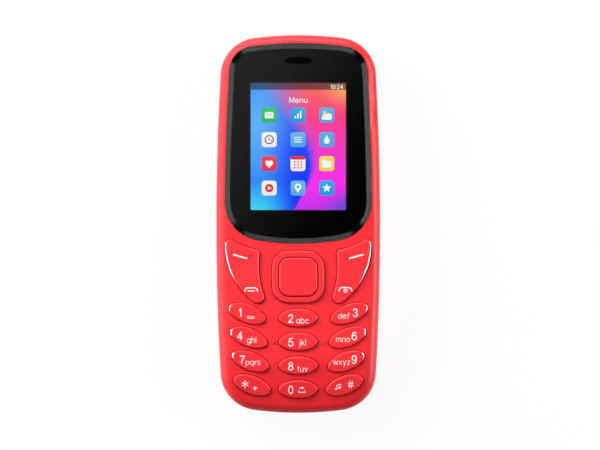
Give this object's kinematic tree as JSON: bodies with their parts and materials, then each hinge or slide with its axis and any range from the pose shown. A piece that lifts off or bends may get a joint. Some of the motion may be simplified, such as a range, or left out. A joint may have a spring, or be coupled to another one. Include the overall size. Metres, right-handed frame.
{
  "type": "feature phone",
  "caption": "Bar-shaped feature phone with a glossy display window, curved soft keys beside a square navigation ring, oval number keys and a lift-off battery cover.",
  "frame": {"origin": "middle of the back face, under the middle of the outline, with the phone lying on its back", "axes": "X across the phone, +Y towards its top end, +Z out of the screen"},
  "size_m": [0.0466, 0.1074, 0.0137],
  "materials": {
    "red_plastic": "satin gloss",
    "key_plastic": "gloss",
    "clear_window": "polished",
    "tinted_window": "polished",
    "black_print": "gloss",
    "white_tape": "matte",
    "dark_mesh": "woven",
    "black_foam": "foam",
    "display_glass": "gloss",
    "light_guide": "satin",
    "white_frame": "matte",
    "amber_film": "satin",
    "clear_film": "satin",
    "dome_steel": "polished",
    "lamp_white": "matte",
    "keypad_rubber": "matte",
    "board_green": "satin",
    "chip_black": "matte",
    "black_plastic": "matte",
    "contact_gold": "plated",
    "steel_can": "satin",
    "black_rubber": "matte",
    "speaker_black": "matte",
    "weight_metal": "sintered",
    "black_frame": "matte",
    "screw_steel": "black plated",
    "battery_wrap": "satin",
    "antenna_copper": "foil"
  },
  "bodies": {
    "handset": {"front_housing": "red_plastic", "display_lens": "clear_window", "lens_print_film": "black_print", "lens_tape": "white_tape", "earpiece_mesh": "dark_mesh", "lcd_gasket": "black_foam", "lcd_panel": "display_glass", "backlight": "light_guide", "lcd_frame": "white_frame", "lcd_flex": "amber_film", "receiver": "steel_can", "dome_film": "clear_film", "metal_domes": "dome_steel", "keypad_leds": "lamp_white", "keypad_rubber": "keypad_rubber", "main_board": "board_green", "shield_can": "steel_can", "processor_chip": "chip_black", "battery_connector": "black_plastic", "battery_contacts": "contact_gold", "sim_holder_1": "steel_can", "sim_holder_2": "steel_can", "memory_card_holder": "steel_can", "usb_port": "steel_can", "headphone_jack": "black_plastic", "mic_boot": "black_rubber", "microphone": "steel_can", "loudspeaker": "speaker_black", "vibrator_motor": "steel_can", "camera_module": "black_plastic", "torch_led": "lamp_white", "torch_lens": "clear_window", "rear_frame": "black_frame", "case_screws": "screw_steel", "antenna": "antenna_copper"},
    "battery_cover": {"battery_cover": "red_plastic", "camera_window": "tinted_window"},
    "battery": {"battery": "battery_wrap"},
    "nav_pad": {"nav_rubber": "keypad_rubber"},
    "nav_ring": {"nav_ring": "key_plastic"},
    "ok_key": {"ok_key": "key_plastic"},
    "left_wing_key": {"left_wing_key": "key_plastic"},
    "right_wing_key": {"right_wing_key": "key_plastic"},
    "vibrator_weight": {"vibrator_weight": "weight_metal"},
    "key_1": {"key_1": "key_plastic"},
    "key_2": {"key_2": "key_plastic"},
    "key_3": {"key_3": "key_plastic"},
    "key_4": {"key_4": "key_plastic"},
    "key_5": {"key_5": "key_plastic"},
    "key_6": {"key_6": "key_plastic"},
    "key_7": {"key_7": "key_plastic"},
    "key_8": {"key_8": "key_plastic"},
    "key_9": {"key_9": "key_plastic"},
    "key_star": {"key_star": "key_plastic"},
    "key_0": {"key_0": "key_plastic"},
    "key_hash": {"key_hash": "key_plastic"}
  },
  "joints": [
    {"name": "battery_cover_lift", "type": "slide", "parent": "handset", "child": "battery_cover", "axis": [0, 0, -1], "range_m": [0, 0.04]},
    {"name": "battery_lift", "type": "slide", "parent": "handset", "child": "battery", "axis": [0, 0, -1], "range_m": [0, 0.02]},
    {"name": "key_1_press", "type": "slide", "parent": "handset", "child": "key_1", "axis": [0, 0, -1], "range_m": [0, 0.0003], "stiffness_N_per_m": 200, "springref_m": -0.001},
    {"name": "key_2_press", "type": "slide", "parent": "handset", "child": "key_2", "axis": [0, 0, -1], "range_m": [0, 0.0003], "stiffness_N_per_m": 200, "springref_m": -0.001},
    {"name": "key_3_press", "type": "slide", "parent": "handset", "child": "key_3", "axis": [0, 0, -1], "range_m": [0, 0.0003], "stiffness_N_per_m": 200, "springref_m": -0.001},
    {"name": "key_4_press", "type": "slide", "parent": "handset", "child": "key_4", "axis": [0, 0, -1], "range_m": [0, 0.0003], "stiffness_N_per_m": 200, "springref_m": -0.001},
    {"name": "key_5_press", "type": "slide", "parent": "handset", "child": "key_5", "axis": [0, 0, -1], "range_m": [0, 0.0003], "stiffness_N_per_m": 200, "springref_m": -0.001},
    {"name": "key_6_press", "type": "slide", "parent": "handset", "child": "key_6", "axis": [0, 0, -1], "range_m": [0, 0.0003], "stiffness_N_per_m": 200, "springref_m": -0.001},
    {"name": "key_7_press", "type": "slide", "parent": "handset", "child": "key_7", "axis": [0, 0, -1], "range_m": [0, 0.0003], "stiffness_N_per_m": 200, "springref_m": -0.001},
    {"name": "key_8_press", "type": "slide", "parent": "handset", "child": "key_8", "axis": [0, 0, -1], "range_m": [0, 0.0003], "stiffness_N_per_m": 200, "springref_m": -0.001},
    {"name": "key_9_press", "type": "slide", "parent": "handset", "child": "key_9", "axis": [0, 0, -1], "range_m": [0, 0.0003], "stiffness_N_per_m": 200, "springref_m": -0.001},
    {"name": "key_star_press", "type": "slide", "parent": "handset", "child": "key_star", "axis": [0, 0, -1], "range_m": [0, 0.0003], "stiffness_N_per_m": 200, "springref_m": -0.001},
    {"name": "key_0_press", "type": "slide", "parent": "handset", "child": "key_0", "axis": [0, 0, -1], "range_m": [0, 0.0003], "stiffness_N_per_m": 200, "springref_m": -0.001},
    {"name": "key_hash_press", "type": "slide", "parent": "handset", "child": "key_hash", "axis": [0, 0, -1], "range_m": [0, 0.0003], "stiffness_N_per_m": 200, "springref_m": -0.001},
    {"name": "ok_key_press", "type": "slide", "parent": "handset", "child": "ok_key", "axis": [0, 0, -1], "range_m": [0, 0.0003], "stiffness_N_per_m": 200, "springref_m": -0.001},
    {"name": "nav_pad_tilt", "type": "hinge", "parent": "handset", "child": "nav_pad", "pos_m": [0, -0.0149, 0.01], "axis": [1, 0, 0], "range_deg": [-2, 2], "stiffness_Nm_per_rad": 0.1},
    {"name": "nav_ring_tilt", "type": "hinge", "parent": "nav_pad", "child": "nav_ring", "pos_m": [0, -0.0149, 0.0105], "axis": [0, 1, 0], "range_deg": [-2, 2], "stiffness_Nm_per_rad": 0.1},
    {"name": "left_wing_key_rock", "type": "hinge", "parent": "handset", "child": "left_wing_key", "pos_m": [-0.01432, -0.01408, 0.01095], "axis": [0.9506, 0.3104, 0], "range_deg": [-2, 2], "stiffness_Nm_per_rad": 0.1},
    {"name": "right_wing_key_rock", "type": "hinge", "parent": "handset", "child": "right_wing_key", "pos_m": [0.01432, -0.01408, 0.01095], "axis": [0.9506, -0.3104, 0], "range_deg": [-2, 2], "stiffness_Nm_per_rad": 0.1},
    {"name": "vibrator_weight_spin", "type": "hinge", "parent": "handset", "child": "vibrator_weight", "pos_m": [0.0142, 0.035, 0.0044], "axis": [0, 1, 0], "continuous": true}
  ],
  "couplings": [
    {"joint": "battery_lift", "follows": "battery_cover_lift", "ratio": 0.5}
  ]
}
